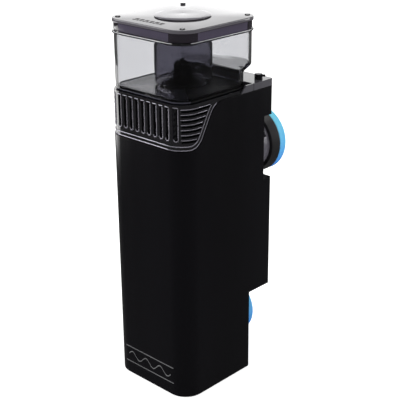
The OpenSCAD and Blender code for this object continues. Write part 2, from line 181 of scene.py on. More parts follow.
def soft_rubber(name, low, high, rough=(0.4, 0.6), z0=None, z1=None, sss=0.0):
    """Silicone with a matt bloom. With z0 and z1, in metres, its colour goes from high above z1 to low
    below z0: painted shade, darker towards the bottom.
    """
    g = Graph(name)
    if z0 is not None:
        sep = g.add("ShaderNodeSeparateXYZ")
        g.join(g.pos, "Position", sep, "Vector")
        height_shade = g.span(sep, "Z", z0, z1, 0.0, 1.0)
        col = g.ramp(height_shade, "Result", 0.05, 0.95, low, high)
    else:
        col = g.ramp(g.noise(30, 3), "Fac", 0.3, 0.7, low, high)
    g.join(col, "Color", g.bsdf, "Base Color")
    dust = g.noise(240, 4, 0.6)
    r = g.span(dust, "Fac", 0.3, 0.7, rough[0], rough[1])
    g.join(r, "Result", g.bsdf, "Roughness")
    g.bump([(g.noise(1300, 2), "Fac", 0.2, 0.00004), (dust, "Fac", 0.1, 0.00008)])
    g.set(Specular_IOR_Level=0.25)
    if sss:
        g.set(Subsurface_Weight=sss, Subsurface_Scale=0.004)
    return g.mat


def metal(name, tint):
    """Brushed metal."""
    g = Graph(name)
    brush = g.noise(300, 3, 0.6, (1, 0.05, 1))
    col = g.ramp(brush, "Fac", 0.3, 0.7, tuple(c * 0.8 for c in tint), tint)
    g.join(col, "Color", g.bsdf, "Base Color")
    r = g.span(brush, "Fac", 0.3, 0.7, 0.22, 0.4)
    g.join(r, "Result", g.bsdf, "Roughness")
    g.bump([(brush, "Fac", 0.15, 0.00003)])
    g.set(Metallic=1.0)
    return g.mat


def foam_mat(name):
    """Black open foam: a mesh of cell walls, with painted shade darkening each cell towards its middle."""
    g = Graph(name)
    cells = g.add("ShaderNodeTexVoronoi", feature="DISTANCE_TO_EDGE")
    cells.inputs["Scale"].default_value = 520
    g.join(g.scaled(1, 1, 1), "Vector", cells, "Vector")
    col = g.ramp(cells, "Distance", 0.02, 0.25, (0.03, 0.03, 0.033), (0.004, 0.004, 0.004))
    g.join(col, "Color", g.bsdf, "Base Color")
    g.bump([(cells, "Distance", 0.9, 0.0008), (g.noise(90, 3), "Fac", 0.4, 0.0006)])
    g.set(Roughness=0.95, Specular_IOR_Level=0.1)
    return g.mat


M = {
    "housing": moulded("housing_satin", (0.0018, 0.0016, 0.0024), (0.0030, 0.0027, 0.0040),
                       (0.16, 0.22), 0.25, depth=0.000010),
    "comb": moulded("comb_gloss", (0.004, 0.004, 0.005), (0.007, 0.0065, 0.0085),
                    (0.06, 0.11), 0.8, grain=500, depth=0.00001),
    # Light, mostly metallic copy of the comb's gloss: painted highlights on the beads.
    "bead": moulded("comb_bead_painted_highlight", (0.20, 0.19, 0.23), (0.44, 0.42, 0.48),
                    (0.10, 0.20), 1.0, grain=500, depth=0.00001, shine=0.8),
    "inner": moulded("inner_black", (0.008, 0.008, 0.009), (0.014, 0.014, 0.015),
                     (0.42, 0.6), 0.3, streak=False),
    "chamber": moulded("chamber_smoke", (0.018, 0.019, 0.022), (0.03, 0.032, 0.036),
                       (0.14, 0.24), 0.5, streak=False),
    "riser": moulded("riser_black", (0.003, 0.003, 0.004), (0.005, 0.005, 0.007),
                     (0.07, 0.12), 0.3, streak=False),
    "lid": moulded("lid_polish", (0.085, 0.080, 0.092), (0.105, 0.098, 0.112),
                   (0.02, 0.04), 0.5, grain=300, depth=0.000006, streak=False),
    # Near black copy of the lid plastic: painted shade on its rounded corners and under the plate's edge.
    "corner": moulded("lid_corner_painted_shade", (0.010, 0.008, 0.012), (0.020, 0.016, 0.022),
                      (0.06, 0.12), 0.6, grain=300, depth=0.00001),
    "cap": moulded("lid_cap_grey", (0.13, 0.12, 0.14), (0.17, 0.16, 0.185),
                   (0.05, 0.09), 0.5, grain=300, depth=0.000006, streak=False),
    "pin": moulded("pin_matt", (0.008, 0.008, 0.009), (0.014, 0.014, 0.015),
                   (0.5, 0.7), 0.04, streak=False),
    "mark": moulded("lid_mark_brown", (0.022, 0.016, 0.017), (0.034, 0.026, 0.028),
                    (0.4, 0.55), 0.1, streak=False),
    # Lighter violet copy of the lid plastic: the skirt's violet tint, lightened as painted sheen.
    "skirt": moulded("lid_skirt_painted_sheen", (0.056, 0.048, 0.073), (0.066, 0.057, 0.086),
                     (0.10, 0.18), 0.4, grain=300, depth=0.00001, streak=False),
    # The housing's black plastic, made lighter on the cover as painted sheen.
    "cover": moulded("cover_black_painted_sheen", (0.062, 0.060, 0.068), (0.080, 0.078, 0.088),
                     (0.08, 0.16), 0.4),
    "case": moulded("magnet_case", (0.012, 0.012, 0.013), (0.022, 0.021, 0.023),
                    (0.3, 0.42), 0.5, streak=False),
    "bracket": moulded("bracket_grey", (0.10, 0.095, 0.115), (0.14, 0.135, 0.155),
                       (0.22, 0.36), 0.5, streak=False),
    "motor": moulded("motor_resin", (0.008, 0.010, 0.016), (0.014, 0.016, 0.024),
                     (0.12, 0.25), 0.5, streak=False),
    "white": moulded("impeller_white", (0.62, 0.63, 0.64), (0.74, 0.75, 0.76),
                     (0.3, 0.45), 0.5, streak=False),
    "ceramic": moulded("ceramic_white", (0.72, 0.71, 0.68), (0.8, 0.79, 0.76),
                       (0.12, 0.2), 0.6, grain=2000, streak=False),
    "badge": moulded("badge_line", (0.10, 0.10, 0.105), (0.16, 0.16, 0.165),
                     (0.25, 0.4), 0.5, streak=False),
    "clear": smoked("cup_smoke", (0.662, 0.664, 0.678), ior=1.3),
    "tube": smoked("tube_smoke", (0.335, 0.33, 0.375), ior=1.15),
    # Dark gloss for the cup's base, and painted shade on its lower rear wall and floor.
    "cup_black_and_shade": moulded("cup_black_base_and_painted_shade", (0.046, 0.046, 0.062), (0.062, 0.062, 0.084),
                         (0.03, 0.06), 1.0, grain=300, depth=0.000006, streak=False),
    # Painted dark bands along the step's ripples: painted shade.
    "cup_step": rippled("cup_step_ripple_painted_shade", (0.69, 0.695, 0.71)),
    # Near white on the cup's flange edge: painted highlight.
    "cup_edge_highlight": moulded("cup_flange_painted_highlight", (0.80, 0.80, 0.83), (0.9, 0.9, 0.93),
                        (0.1, 0.2), 0.6, streak=False),
    "rubber": soft_rubber("rubber_black", (0.012, 0.012, 0.012), (0.022, 0.022, 0.022)),
    "hose": soft_rubber("hose_silicone", (0.42, 0.45, 0.48), (0.55, 0.57, 0.6), (0.25, 0.4)),
    # Both pads are painted darker towards the bottom: painted shade.
    "blue": soft_rubber("pad_blue", (0.02, 0.20, 0.66), (0.20, 0.72, 0.95), (0.5, 0.65),
                        0.172, 0.222, 0.1),
    "blue_low": soft_rubber("buffer_blue", (0.02, 0.16, 0.58), (0.13, 0.54, 0.90),
                            (0.5, 0.65), 0.018, 0.062, 0.1),
    "steel": metal("steel_screw", (0.62, 0.62, 0.64)),
    "magnet": metal("magnet_metal", (0.3, 0.31, 0.33)),
    "foam": foam_mat("filter_foam"),
}


# ---------------------------------------------------------------- mesh tools
def new_piece(name, verts, faces, mat, body, nodes, smooth, paint=None):
    """A piece on body that stands for the CAD nodes; edges sharper than smooth stay hard.

    mat is a material or a list of them. paint picks a face's place in it from its centre.
    """
    mats = mat if isinstance(mat, list) else [mat]
    me = bpy.data.meshes.new(name)
    me.from_pydata([tuple(c * MM for c in v) for v in verts], [], faces)
    me.validate()
    ob = bpy.data.objects.new(name, me)
    bpy.context.scene.collection.objects.link(ob)
    tidy_normals(ob, smooth)
    for m in mats:
        me.materials.append(m)
    if paint:
        for face in me.polygons:
            face.material_index = paint(face.center / MM)
    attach(ob, body)
    if nodes:
        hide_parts(*nodes)
    return ob


def tidy_normals(ob, angle):
    """Faces out, smooth shading, and hard edges where the surface turns by over angle."""
    bm = bmesh.new()
    bm.from_mesh(ob.data)
    bmesh.ops.recalc_face_normals(bm, faces=bm.faces)
    for f in bm.faces:
        f.smooth = True
    for e in bm.edges:
        if len(e.link_faces) == 2 and e.calc_face_angle(0) > math.radians(angle):
            e.smooth = False
    bm.to_mesh(ob.data)
    bm.free()


def rings_to_mesh(rings, closed=True):
    """Joins equal rings of points into a skin. Closed also joins the last to the first."""
    n = len(rings[0])
    verts = [p for r in rings for p in r]
    faces = []
    last = len(rings) if closed else len(rings) - 1
    for i in range(last):
        a, b = i * n, ((i + 1) % len(rings)) * n
        for k in range(n):
            j = (k + 1) % n
            faces.append((a + k, a + j, b + j, b + k))
    return verts, faces


def plan_ring(z, h, y0, y1, r):
    """A rounded rectangle at height z, from -h to h and y0 to y1, with corner radius r."""
    per, side = 14, 6  # steps round each corner and along each straight side
    pts = []
    corners = [(-h + r, y0 + r, 180), (h - r, y0 + r, 270), (h - r, y1 - r, 0), (-h + r, y1 - r, 90)]
    arcs = []
    for cx, cy, start in corners:
        turns = [math.radians(start + 90 * i / per) for i in range(per + 1)]
        arcs.append([(cx + r * math.cos(a), cy + r * math.sin(a)) for a in turns])
    for i in range(4):
        pts += arcs[i]
        a, b = arcs[i][-1], arcs[(i + 1) % 4][0]
        pts += [(a[0] + (b[0] - a[0]) * k / side, a[1] + (b[1] - a[1]) * k / side)
                for k in range(1, side)]
    return [(x, y, z) for x, y in pts]


def circle_like(ring, z, cx, cy, r):
    """A circle with the same number and order of points as ring."""
    out = []
    for x, y, _ in ring:
        a = math.atan2(y - cy, x - cx)
        out.append((cx + r * math.cos(a), cy + r * math.sin(a), z))
    return out


def lathe(profile, axis, centre, seg, closed=True):
    """Turns a profile of (radius, place along axis) points round the Z or Y axis at centre.

    An open profile gets flat end caps.
    """
    rings = []
    for r, h in profile:
        ring = []
        for k in range(seg):
            a = 2 * math.pi * k / seg
            if axis == "Z":
                ring.append((centre[0] + r * math.cos(a), centre[1] + r * math.sin(a), h))
            else:
                ring.append((centre[0] + r * math.cos(a), h, centre[1] + r * math.sin(a)))
        rings.append(ring)
    if closed:
        return rings_to_mesh(rings, True)
    verts, faces = rings_to_mesh(rings, False)
    faces.append(tuple(range(seg))[::-1])
    faces.append(tuple(range((len(rings) - 1) * seg, len(rings) * seg)))
    return verts, faces


def rounded(points, radius, steps=4):
    """Rounds each corner of a closed profile with a short curve of steps parts."""
    longest = 0.45  # most of a side that one corner may take
    out = []
    n = len(points)
    for i in range(n):
        p, a, b = Vector(points[i]), Vector(points[i - 1]), Vector(points[(i + 1) % n])
        u, v = a - p, b - p
        d = min(radius, u.length * longest, v.length * longest)
        p0, p1 = p + u.normalized() * d, p + v.normalized() * d
        for k in range(steps + 1):
            t = k / steps
            q = p0 * (1 - t) ** 2 + p * 2 * t * (1 - t) + p1 * t ** 2
            out.append((q.x, q.y))
    return out


def from_cad(node, mat, body, width, segs):
    """A finished copy of a CAD shape: flat parts cleaned, edges rounded width wide."""
    merge, flat, sharp = 2e-6, math.radians(0.6), math.radians(30)  # metres and angles
    me = NODES[node].data.copy()
    me.materials.clear()
    ob = bpy.data.objects.new(node + "_finish", me)
    bpy.context.scene.collection.objects.link(ob)
    bm = bmesh.new()
    bm.from_mesh(me)
    bmesh.ops.remove_doubles(bm, verts=bm.verts, dist=merge)
    bmesh.ops.dissolve_limit(bm, angle_limit=flat, verts=bm.verts, edges=bm.edges)
    bmesh.ops.recalc_face_normals(bm, faces=bm.faces)
    for f in bm.faces:
        f.smooth = True
    bm.to_mesh(me)
    bm.free()
    if "custom_normal" in me.attributes:
        me.attributes.remove(me.attributes["custom_normal"])
    if width:
        bev = ob.modifiers.new("edge", "BEVEL")
        bev.width = width * MM
        bev.segments = segs
        bev.limit_method = "ANGLE"
        bev.angle_limit = sharp
        bev.harden_normals = True
        bev.use_clamp_overlap = True
    me.materials.append(mat)
    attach(ob, body)
    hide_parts(node)


# ---------------------------------------------------------------- carried over from the CAD
def finish_cad():
    """Each row: node, key in M, body, slot, width of its rounded edges and their steps."""
    jobs = [
        ("housing", "housing", "body", "housing_black", 0.6, 3),
        ("rear_wall", "housing", "body", "housing_black", 0.4, 2),
        ("base_plate", "housing", "body", "housing_black", 0.4, 2),
        ("badge_inlay", "badge", "body", "badge_grey", 0.08, 1),
        ("intake_comb", "comb", "body", "comb_gloss", 0.45, 3),
        ("deck_plate", "inner", "body", "inner_black", 0.3, 2),
        ("divider_plate", "inner", "body", "inner_black", 0.3, 2),
        ("reaction_chamber", "chamber", "body", "chamber_smoke", 0.3, 2),
        ("cover_wings", "cover", "body", "housing_black", 0.25, 2),
        ("rear_cover", "cover", "cover", "housing_black", 0.35, 2),
        ("air_valve", "riser", "cover", "pin_black", 0.15, 2),
        ("air_knob", "riser", "knob", "pin_black", 0.15, 2),
        ("air_hose", "hose", "body", "hose_clear", 0, 1),
        ("air_injector", "inner", "body", "inner_black", 0.15, 2),
        ("cable_gland", "rubber", "cover", "seal_rubber", 0.3, 2),
        ("magnet_bracket", "bracket", "body", "bracket_grey", 0.35, 2),
        ("bracket_screws", "steel", "body", "steel", 0.2, 2),
        ("magnet_core", "magnet", "magnet", "magnet_metal", 0.3, 2),
        ("buffer_post", "inner", "body", "inner_black", 0.4, 2),
        ("outlet_spout", "inner", "body", "inner_black", 0.3, 2),
        ("pump_motor", "motor", "body", "motor_resin", 0.6, 3),
        ("pump_volute", "inner", "body", "inner_black", 0.4, 2),
        ("pump_strainer", "inner", "body", "inner_black", 0.3, 2),
        ("pump_feet", "rubber", "body", "seal_rubber", 0.4, 2),
        ("impeller", "white", "rotor", "impeller_white", 0.15, 2),
        ("rotor_magnet", "magnet", "rotor", "magnet_metal", 0.3, 2),
        ("rotor_shaft", "ceramic", "rotor", "ceramic_white", 0.2, 2),
        ("shaft_bushings", "rubber", "body", "seal_rubber", 0.15, 2),
    ]
    for node, key, body, slot, width, segs in jobs:
        from_cad(node, M[key], body, width, segs)


# ---------------------------------------------------------------- cup, lid, riser
def make_cup():
    """The clear cup: black base round the riser, stepped rear wall and a rolled flange, with painted shade
    on the lower rear wall and part of the floor and a painted highlight on the flange's edge.
    """
    h, f, b = 43.0, CUP_Y - 45, CUP_Y + 45  # half width, front and rear
    w, r, r_in = 2.2, 15.5, 13.3  # wall, outer and inner corner radius
    z0, z1, floor_z, hole_r = 262.6, 310.4, 267, 15.9
    low, low_in = 42.2, 40.0  # y of the rear wall below the step, outside and inside
    step_z, step_h, step_n = 275.5, 6, 8
    edge_r, fillet_r, fillet_n = 1.8, 2.0, 5

    def back(z, base, top):
        """How far back the rear wall is at height z: a smooth step from base to top."""
        t = min(1, max(0, (z - step_z) / step_h))
        return base + (top - base) * (t * t * (3 - 2 * t))

    hole = plan_ring(z0, h, f, low, r)
    rings = [circle_like(hole, z0 + 2.4, 0, CUP_Y, hole_r), circle_like(hole, z0, 0, CUP_Y, hole_r)]
    for k in range(fillet_n + 1):  # bottom outer edge
        a = math.radians(90 * k / fillet_n)
        s = edge_r * (1 - math.sin(a))
        rings.append(plan_ring(z0 + edge_r * (1 - math.cos(a)), h - s, f + s, low - s, r - s))
    step = [step_h * k / step_n for k in range(1, step_n + 1)]
    for z in [268, 274, step_z] + [step_z + d for d in step] + [290, 300, 308]:
        rings.append(plan_ring(z, h, f, back(z, low, b), r))
    rings.append(plan_ring(308.5, h, f, b, r))
    for s, z in [(0.3, 308.7), (1.1, 308.8), (1.4, 309.1), (1.4, 310.1), (1.1, 310.4)]:  # flange
        rings.append(plan_ring(z, h + s, f - s, b + s, r + s))
    rings.append(plan_ring(z1, h - w + 0.4, f + w - 0.4, b - w + 0.4, r_in + 0.4))
    rings.append(plan_ring(z1 - 0.4, h - w, f + w, b - w, r_in))
    for z in [306, 296] + [282.7 - d for d in [0] + step] + [272, 268.5]:
        rings.append(plan_ring(z, h - w, f + w, back(z - 1.2, low_in, b - w), r_in))
    for k in range(1, fillet_n + 1):  # inner floor fillet
        a = math.radians(90 * k / fillet_n)
        s = fillet_r * (1 - math.cos(a))
        rings.append(plan_ring(floor_z - fillet_r * math.sin(a), h - w - s, f + w + s, low_in - s,
                               r_in - s))
    v, q = rings_to_mesh(rings)

    keys = ["clear", "cup_black_and_shade", "cup_step", "cup_edge_highlight", "inner"]
    clear, black, ripple, edge, inner = range(len(keys))

    def paint(c):
        """Clear walls, black base, painted shade on the lower rear wall, its right corner and a matte
        floor sector, rippled step with painted dark bands, painted highlight on the flange edge.
        """
        base = c.z < z0 + 2.9
        # a matte black sector of the floor, right and back: painted shade
        if base and -40 < math.degrees(math.atan2(c.y - CUP_Y, c.x)) < 85:
            return inner
        # the base, and the lower rear wall in near black: painted shade
        if base or (c.y > 37 and c.z < 272 and abs(c.x) < 42):
            return black
        # the rear right corner in near black: painted shade
        if c.y > 36 and c.z < 282.6 and c.x > 36:
            return black
        # the step: rippled, with painted dark bands
        if c.y > 37 and c.z < 282.6:
            return ripple
        # the flange's outer edge in near white: painted highlight
        if c.z > 309.9 and (abs(c.x) > h or c.y < f or c.y > b):
            return edge
        return clear

    mats = [M[k] for k in keys]
    new_piece("cup_shell", v, q, mats, "cup", ["skimmer_cup"], 50, paint)


def make_lid():
    """The lid: plate with a skirt and a plug, then its gasket, raised button and pins."""
    h, r, top, skirt, c = 45.3, 17, 320.5, 310.7, CUP_Y

    def inset(s, z):
        """The plate's outline, s inside its edge."""
        return plan_ring(z, h - s, c - h + s, c + h - s, r - s)

    ring0 = inset(0, top)
    rings = [circle_like(ring0, top - 3.1, 0, c, 8.2), circle_like(ring0, top, 0, c, 8.2)]
    for s, down in [(0.9, 0.0), (0.4, 0.1), (0.1, 0.4), (0, 0.9),
                    (0, 2.6), (0.15, 3.0), (0.5, 3.1), (1.1, 3.1), (1.1, 3.4)]:
        rings.append(inset(s, top - down))
    for s, up in [(1.1, 0.4), (1.25, 0.1), (1.6, 0), (2.7, 0), (3.1, 0.3)]:
        rings.append(inset(s, skirt + up))
    rings.append(inset(3.1, top - 3.4))
    for x, y, corner, z in [(39.1, 41.1, 11.6, top - 3.4), (39.1, 41.1, 11.6, PLUG_Z + 0.4),
                            (38.7, 40.7, 11.2, PLUG_Z), (37.6, 39.6, 10.1, PLUG_Z),
                            (37.3, 39.3, 9.8, PLUG_Z + 0.3), (37.3, 39.3, 9.8, top - 3.1)]:
        rings.append(plan_ring(z, x, c - y, c + y, corner))
    v, q = rings_to_mesh(rings)

    def paint(p):
        """Painted sheen: lighter violet skirt on the four straight sides; painted shade: near black on the
        rounded corners and under the plate's edge.
        """
        if p.z > top - 2.4:
            return 0
        return 1 if min(abs(p.x), abs(p.y - c)) < h - 18.2 and p.z < top - 3.2 else 2

    mats = [M["lid"], M["skirt"], M["corner"]]
    new_piece("lid_plate", v, q, mats, "lid", ["cup_lid"], 40, paint)
    make_gasket()
    make_button(top)
    make_rivets()


def make_gasket():
    """Two low lips round the lid's plug."""
    rings = []
    for out, z in [(1.0, 0.35), (1.2, 0.6), (1.1, 1.0), (1.2, 1.35), (1.0, 1.6), (0.3, 1.7),
                   (0.0, 1.5), (0.0, 0.5), (0.3, 0.3)]:
        rings.append(plan_ring(PLUG_Z + z, 39.3 + out, CUP_Y - 41.3 - out, CUP_Y + 41.3 + out,
                               11.8 + out))
    v, q = rings_to_mesh(rings)
    new_piece("lid_gasket", v, q, M["rubber"], "lid", ["lid_seal"], 50)


def make_button(top):
    """The round cap on the lid: a low dome with a rolled rim, on a peg through the plate."""
    r, peg_r, peg_z = 23.2, 8, 317.6
    prof = rounded([(0.01, peg_z), (peg_r, peg_z), (peg_r, top + 0.2), (r - 1.5, top + 0.2),
                    (r - 1.5, top + 0.45), (r, top + 0.75), (r - 0.2, top + 1.1), (r - 1.4, top + 1.5),
                    (r - 4, top + 1.85), (r - 9, top + 2.0), (0.01, top + 2.0)], 0.7)
    v, q = lathe(prof[3:-3], "Z", (0, CUP_Y), 128, closed=False)
    new_piece("lid_button", v, q, M["cap"], "lid", ["lid_cap"], 40)


def make_rivets():
    """Four pins with flat heads; the dimple in each head is bright."""
    places = [(x, y) for x in (-PIN_X, PIN_X) for y in (CUP_Y - PIN_Y, CUP_Y + PIN_Y)]
    prof = [(1.6, 317.5), (1.6, 320.5), (2.2, 320.52), (2.2, 320.8), (2.0, 321.0),
            (1.3, 321.0), (1.1, 320.9), (1.0, 320.95), (0.5, 321.05), (0.01, 321.1)]
    verts, faces = [], []
    for place in places:
        v, q = lathe(prof, "Z", place, 32, closed=False)
        n = len(verts)
        verts += v
        faces += [tuple(i + n for i in t) for t in q]

    def paint(p):
        near = min(math.hypot(p.x - x, p.y - y) for x, y in places)
        return 1 if p.z > 320.9 and near < 0.9 else 0

    mats = [M["pin"], M["steel"]]
    new_piece("lid_rivets", verts, faces, mats, "lid", ["lid_pins"], 40, paint)


def make_lid_marks():
    """Two rows of plain low bars near the front edge of the lid."""
    start, length, base, bevel = -20, 34, 320.45, 0.15
    bar = [(0, 0), (0, 0.14), (0.08, 0.22), (0.92, 0.22), (1, 0.14), (1, 0)]
    m = len(bar)
    verts, faces = [], []
    for row, count, wide, deep in [(-29.6, 9, 2.6, 1.5), (-26.4, 6, 4.0, 2.0)]:
        for i in range(count):
            x0 = start + i * length / count
            n = len(verts)
            for y, inset in [(row, bevel), (row + bevel, 0), (row + deep - bevel, 0), (row + deep, bevel)]:
                verts += [(x0 + inset + (wide - 2 * inset) * u, y, base + v) for u, v in bar]
            for j in range(3):
                faces += [(n + j * m + k, n + j * m + (k + 1) % m, n + (j + 1) * m + (k + 1) % m,
                           n + (j + 1) * m + k) for k in range(m)]
            faces += [tuple(range(n, n + m)), tuple(range(n + 3 * m, n + 4 * m))]
    new_piece("lid_plain_marks", verts, faces, M["mark"], "lid", [], 30)


def comb_plan(s):
    """Point and outward direction on the comb's outline, s round from its front's middle."""
    ax, r, y0 = 27.4, 16.8, FRONT + 0.8  # half of the flat front, corner radius, front face
    side = -1 if s < 0 else 1
    s = abs(s)
    arc = r * math.pi / 2
    if s < ax:
        return Vector((side * s, y0, 0)), Vector((0, -1, 0))
    if s < ax + arc:
        a = (s - ax) / r
        n = Vector((side * math.sin(a), -math.cos(a), 0))
        return Vector((side * ax, y0 + r, 0)) + n * r, n
    return Vector((side * (ax + r), y0 + r + s - ax - arc, 0)), Vector((side, 0, 0))


def rim_height(y, off):
    """Height of the housing's side rim at depth y, off above it: two arcs and a slope."""
    r, bend, y0, y1, low, high, steps = 16, math.radians(61), -31, 7, 224.6, 259.3, 8
    turns = [bend * i / steps for i in range(steps + 1)]
    line = [(y0 + (r - off) * math.sin(t), low + r - (r - off) * math.cos(t)) for t in turns]
    line += [(y1 - (r + off) * math.sin(t), high - r + (r + off) * math.cos(t)) for t in turns[::-1]]
    if y <= line[0][0]:
        return line[0][1]
    for (ya, za), (yb, zb) in zip(line, line[1:]):
        if y <= yb:
            return za + (zb - za) * (y - ya) / (yb - ya)
    return line[-1][1]


def bead(path, radius, verts, faces):
    """Adds a round bead along path, a list of (point, outward direction), half sunk in."""
    n, first, seg = len(path), len(verts), 8
    for i, (p, out) in enumerate(path):
        a, b = path[max(i - 1, 0)][0], path[min(i + 1, n - 1)][0]
        across = (b - a).normalized().cross(out).normalized()
        for k in range(seg):
            t = 2 * math.pi * k / seg
            verts.append(tuple(p + (out * math.sin(t) + across * math.cos(t)) * radius))
    for i in range(n - 1):
        for k in range(seg):
            a, b = first + i * seg, first + (i + 1) * seg
            faces.append((a + k, a + (k + 1) % seg, b + (k + 1) % seg, b + k))
    faces.append(tuple(range(first, first + seg)))
    faces.append(tuple(range(first + (n - 1) * seg, first + n * seg)))


def make_comb_beads():
    """Raised beads in a light metallic finish that paints highlights: under and up the right side of each
    front slot, on each side slot, and two borders.
    """
    verts, faces = [], []

    def on(s, z):
        p, out = comb_plan(s)
        return p + Vector((0, 0, z)), out

    slots, pitch, half = 11, 6.9, 2.0  # front slots, and half the way across one
    slot_low, slot_top, rise, across = 234.8, 260.2, 2.6, 0.4
    for k in range(slots):
        mid = (k - slots // 2) * pitch
        if abs(mid) > 30:  # slots on the corners spread out a little
            mid *= 1.03
        turns = [math.pi * i / 10 for i in range(11)]
        hook = [on(mid - half * math.cos(a), slot_low - half * math.sin(a)) for a in turns]
        hook += [on(mid + half, slot_low + 1.1 + rise * i) for i in range(10)]
        bead(hook, 0.46, verts, faces)
        bead([on(mid - half + across * i, slot_top) for i in range(11)], 0.4, verts, faces)
    for side in (-1, 1):
        for k in range(7):  # side slots, from the lowest up, cut off by the rim's curve
            z = 232.6 + 4.15 * k + 1.3
            points = [on(side * (39.5 + i * 1.7), z) for i in range(28)]
            path = [(p, out) for p, out in points if p.y < -22 or z > rim_height(p.y, 4.9)]
            bead(path, 0.36, verts, faces)
    for off in (0.9, 4.0):  # borders along the rim, up to the cup's shoulder
        path = []
        for i in range(-86, 87):
            p, out = comb_plan(i)
            z = rim_height(p.y, off)
            if z < 258.6:
                path.append((p + Vector((0, 0, z)), out))
        bead(path, 0.45, verts, faces)
    new_piece("comb_beads", verts, faces, M["bead"], "body", [], 60)


def make_tube():
    """The dark tube that hangs from the lid, with four drain notches in its foot."""
    lo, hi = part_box("splash_tube")
    z0, z1, r, wall = lo.z / MM, hi.z / MM, hi.x / MM, 1.6
    notch_h, notch_half = 3, math.degrees(3 / r)
    profile = rounded([(r, z0), (r, z1), (r - wall, z1), (r - wall, z0)], 0.35, 3)
    v, q = lathe(profile, "Z", (0, CUP_Y), 128)
    out = []
    for x, y, z in v:
        a = math.degrees(math.atan2(y - CUP_Y, x)) % 90
        notched = abs(a - 45) < notch_half
        out.append((x, y, max(z, z0 + notch_h) if notched else z))
    new_piece("splash_tube_clear", out, q, M["tube"], "lid", ["splash_tube"], 50)


def make_riser():
    """The black cone in the cup's floor, fluted round its mouth, and its sealing ring."""
    r, mouth, flutes, deep = 8.6, 274, 12, 0.75
    prof = rounded([(14, 246), (15.6, 246), (15.6, 250.9), (14.6, 250.9), (14.6, 253.1),
                    (15.6, 253.1), (15.6, 265.3), (19, 265.3), (19, 266.8), (16.4, 267.3),
                    (r + 0.4, 273.0), (r, 274.3), (r, 282.6), (r - 1.4, 282.6),
                    (r - 1.4, 273), (13.2, 266.6), (13.2, 254)], 0.35, 3)
    v, q = lathe(prof, "Z", (0, CUP_Y), 144)
    out = []
    for x, y, z in v:
        dx, dy = x, y - CUP_Y
        d = math.hypot(dx, dy)
        if d > r - 0.8 and z > mouth:
            a = math.atan2(dy, dx)
            cut = deep * max(0.0, math.cos(flutes * a)) ** 1.5 * min(1, (z - mouth) / 1.5)
            k = (d - cut) / d
            dx, dy = dx * k, dy * k
        out.append((dx, dy + CUP_Y, z))
    new_piece("riser_cone", out, q, M["riser"], "cup", ["foam_riser"], 40)
    turns = [math.radians(a) for a in range(0, 360, 30)]
    ring = [(15.3 + 0.62 * math.cos(a), 252 + 0.9 * math.sin(a)) for a in turns]
    v, q = lathe(ring, "Z", (0, CUP_Y), 96)
    new_piece("riser_ring", v, q, M["rubber"], "cup", ["riser_seal"], 60)


# ---------------------------------------------------------------- magnet holder and pads
def make_magnet():
    """The magnet's case and its pad, and the buffer pad near the housing's foot."""
    face = FRONT + OVERALL_DEPTH
    y1 = face - 8.8 - 0.3
    y0 = y1 - 8.5
    z, low_z = 195.5, 38.8
    prof = rounded([(0.01, y0 - 9), (21.4, y0 - 9), (21.4, y0), (27.7, y0), (28.0, y0 + 1.0),
                    (29.9, y1 - 0.8), (29.9, y1), (20, y1), (20, y1 - 6.4), (0.01, y1 - 6.4)], 0.6, 4)
    v, q = lathe(prof[5:-5], "Y", (0, z), 128, closed=False)
    new_piece("magnet_shell", v, q, M["case"], "magnet", ["magnet_body"], 40)
    make_pad("magnet_cushion", y1 + 0.2, face, 29.8, z, "magnet", "magnet_pad", M["blue"])
    make_pad("lower_cushion", -FRONT + 15, FRONT + 109, 26.7, low_z, "body", "lower_buffer",
             M["blue_low"], hole=9.8, depth=2.3)


def make_pad(name, y0, y1, r, z, body, node, mat, hole=0, depth=0):
    """A soft disc from y0 to y1: rounded rim, slight waist and faint rings in its face.

    A hole in its back, of that radius and depth, takes the post's head.
    """
    foot, rim_r, rim_y, waist = 1.1, 2.0, 2.2, 0.22
    rings, wave_h, wave_step, plain_r = 25, 0.12, 2.1, 3
    side = [(r - 0.9, y0), (r - 0.25, y0 + 0.35), (r, y0 + foot)]
    straight = y1 - y0 - foot - rim_y
    for k in range(1, 8):
        t = k / 8
        side.append((r - waist * math.sin(math.pi * t), y0 + foot + straight * t))
    for k in range(7):
        a = math.radians(90 * k / 6)
        side.append((r - rim_r * (1 - math.cos(a)), y1 - rim_y + rim_y * math.sin(a)))
    face = []
    for k in range(1, rings):
        rad = (r - rim_r) * (1 - k / rings)
        wave = wave_h * (math.cos(rad * wave_step) - 1) if rad > plain_r else 0
        face.append((max(rad, 0.01), y1 + wave))
    start = [(0.01, y0)]
    if hole:
        start = [(0.01, y0 + depth), (hole - 0.4, y0 + depth), (hole, y0 + depth - 0.3), (hole, y0)]
    v, q = lathe(start + side + face, "Y", (0, z), 128, closed=False)
    pad = new_piece(name, v, q, mat, body, [node], 50)


